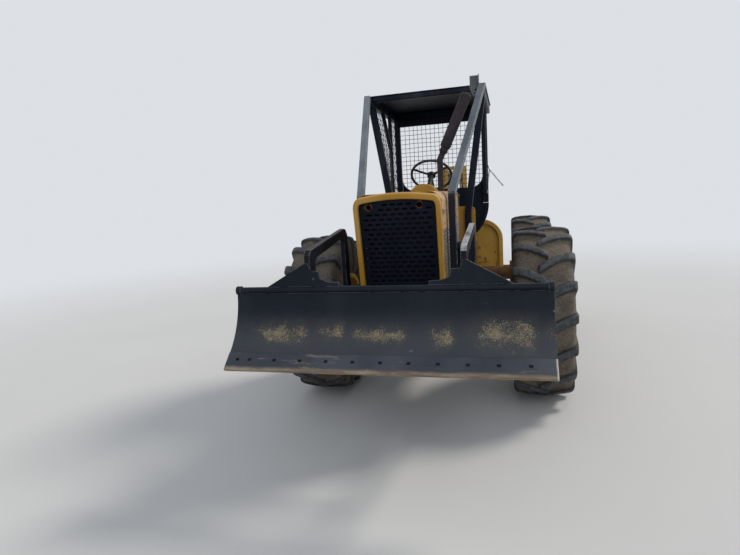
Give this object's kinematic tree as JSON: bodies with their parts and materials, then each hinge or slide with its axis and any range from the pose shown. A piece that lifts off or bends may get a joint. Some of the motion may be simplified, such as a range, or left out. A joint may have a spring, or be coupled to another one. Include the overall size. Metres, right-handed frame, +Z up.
{
  "type": "cable skidder",
  "caption": "Small articulated cable skidder with a raised front blade, open canopy with rear screen, limb risers, rear winch, arch and lugged tyres.",
  "frame": {"origin": "on the ground, at the middle of the machine's length and width", "axes": "the front and its blade face -Y, +X is the machine's left side, +Z is up"},
  "size_m": [2.406, 5.15, 2.775],
  "materials": {
    "black_paint": "worn semi-gloss black",
    "yellow_paint": "faded chipped yellow enamel",
    "blade_steel": "scraped dark paint with mud and rust",
    "bare_steel": "scuffed bare steel",
    "grey_tube": "worn silver paint",
    "rust": "brown rust",
    "muddy_iron": "greasy iron under dried mud",
    "tyre_rubber": "dusty worn rubber",
    "black_plastic": "satin moulded plastic",
    "seat_vinyl": "cracked black vinyl",
    "screen_steel": "perforated grey sheet"
  },
  "bodies": {
    "front": {"front_frame": "black_paint", "belly_guard": "black_paint", "front_axle": "muddy_iron", "power_unit": "yellow_paint", "radiator": "black_paint", "grille_frame": "yellow_paint", "grille_panel": "black_paint", "hood": "yellow_paint", "hood_screens": "screen_steel", "dash_cowl": "yellow_paint", "steering_wheel": "black_plastic", "control_levers": "black_plastic", "floor_deck": "black_paint", "seat_box": "black_paint", "seat_cushion": "seat_vinyl", "seat_back": "seat_vinyl", "foot_guards": "yellow_paint", "cab_back": "black_paint", "side_screens": "black_paint", "canopy_posts": "black_paint", "canopy_roof": "black_paint", "rear_screen": "black_paint", "limb_risers": "grey_tube", "riser_bracket": "bare_steel", "exhaust_pipe": "rust", "muffler": "rust", "cylinder_towers": "black_paint", "steer_brackets": "black_paint"},
    "blade": {"blade_plate": "blade_steel", "cutting_edge": "blade_steel", "blade_arms": "blade_steel"},
    "lift_barrels": {"lift_barrels": "black_paint"},
    "lift_rods": {"lift_rods": "bare_steel"},
    "rear": {"rear_frame": "yellow_paint", "rear_guard": "yellow_paint", "rear_axle": "muddy_iron", "pivot_pins": "bare_steel", "arch": "yellow_paint", "fairlead_rollers": "bare_steel", "butt_plate": "rust", "winch_frame": "yellow_paint"},
    "drum": {"winch_drum": "bare_steel"},
    "steer_barrel_left": {"steer_barrel_l": "black_paint"},
    "steer_rod_left": {"steer_rod_l": "bare_steel"},
    "steer_barrel_right": {"steer_barrel_r": "black_paint"},
    "steer_rod_right": {"steer_rod_r": "bare_steel"},
    "wheel_fl": {"tyre_fl": "tyre_rubber", "rim_fl": "yellow_paint"},
    "wheel_fr": {"tyre_fr": "tyre_rubber", "rim_fr": "yellow_paint"},
    "wheel_rl": {"tyre_rl": "tyre_rubber", "rim_rl": "yellow_paint"},
    "wheel_rr": {"tyre_rr": "tyre_rubber", "rim_rr": "yellow_paint"}
  },
  "joints": [
    {"name": "articulation", "type": "hinge", "parent": "front", "child": "rear", "pos_m": [0, 0.61, 0.75], "axis": [0, 0, 1], "range_deg": [-40, 40]},
    {"name": "blade_lift", "type": "hinge", "parent": "front", "child": "blade", "pos_m": [0, -0.855, 0.64], "axis": [1, 0, 0], "range_deg": [-5, 26]},
    {"name": "lift_barrel_turn", "type": "hinge", "parent": "front", "child": "lift_barrels", "pos_m": [0, -1.315, 1.38], "axis": [1, 0, 0], "range_deg": [-2, 6]},
    {"name": "lift_rod_slide", "type": "slide", "parent": "lift_barrels", "child": "lift_rods", "axis": [0, -0.2153, -0.9765], "range_m": [-0.06, 0.31]},
    {"name": "drum_spin", "type": "hinge", "parent": "rear", "child": "drum", "pos_m": [0, 1.475, 1.3], "axis": [1, 0, 0], "continuous": true},
    {"name": "steer_barrel_turn_left", "type": "hinge", "parent": "front", "child": "steer_barrel_left", "pos_m": [0.33, 0.005, 0.78], "axis": [0, 0, 1], "range_deg": [-12, 12]},
    {"name": "steer_rod_slide_left", "type": "slide", "parent": "steer_barrel_left", "child": "steer_rod_left", "axis": [0, 1, 0], "range_m": [-0.24, 0.24]},
    {"name": "steer_barrel_turn_right", "type": "hinge", "parent": "front", "child": "steer_barrel_right", "pos_m": [-0.33, 0.005, 0.78], "axis": [0, 0, 1], "range_deg": [-12, 12]},
    {"name": "steer_rod_slide_right", "type": "slide", "parent": "steer_barrel_right", "child": "steer_rod_right", "axis": [0, 1, 0], "range_m": [-0.24, 0.24]},
    {"name": "spin_fl", "type": "hinge", "parent": "front", "child": "wheel_fl", "pos_m": [0.965, -0.555, 0.73], "axis": [1, 0, 0], "continuous": true},
    {"name": "spin_fr", "type": "hinge", "parent": "front", "child": "wheel_fr", "pos_m": [-0.965, -0.555, 0.73], "axis": [1, 0, 0], "continuous": true},
    {"name": "spin_rl", "type": "hinge", "parent": "rear", "child": "wheel_rl", "pos_m": [0.965, 1.775, 0.73], "axis": [1, 0, 0], "continuous": true},
    {"name": "spin_rr", "type": "hinge", "parent": "rear", "child": "wheel_rr", "pos_m": [-0.965, 1.775, 0.73], "axis": [1, 0, 0], "continuous": true}
  ],
  "couplings": [
    {"joint": "lift_barrel_turn", "follows": "blade_lift", "ratio": 0.158},
    {"joint": "lift_rod_slide", "follows": "blade_lift", "m_per_rad": 0.5925},
    {"joint": "steer_barrel_turn_left", "follows": "articulation", "ratio": 0.229},
    {"joint": "steer_rod_slide_left", "follows": "articulation", "m_per_rad": 0.3223},
    {"joint": "steer_barrel_turn_right", "follows": "articulation", "ratio": 0.229},
    {"joint": "steer_rod_slide_right", "follows": "articulation", "m_per_rad": -0.3223}
  ]
}
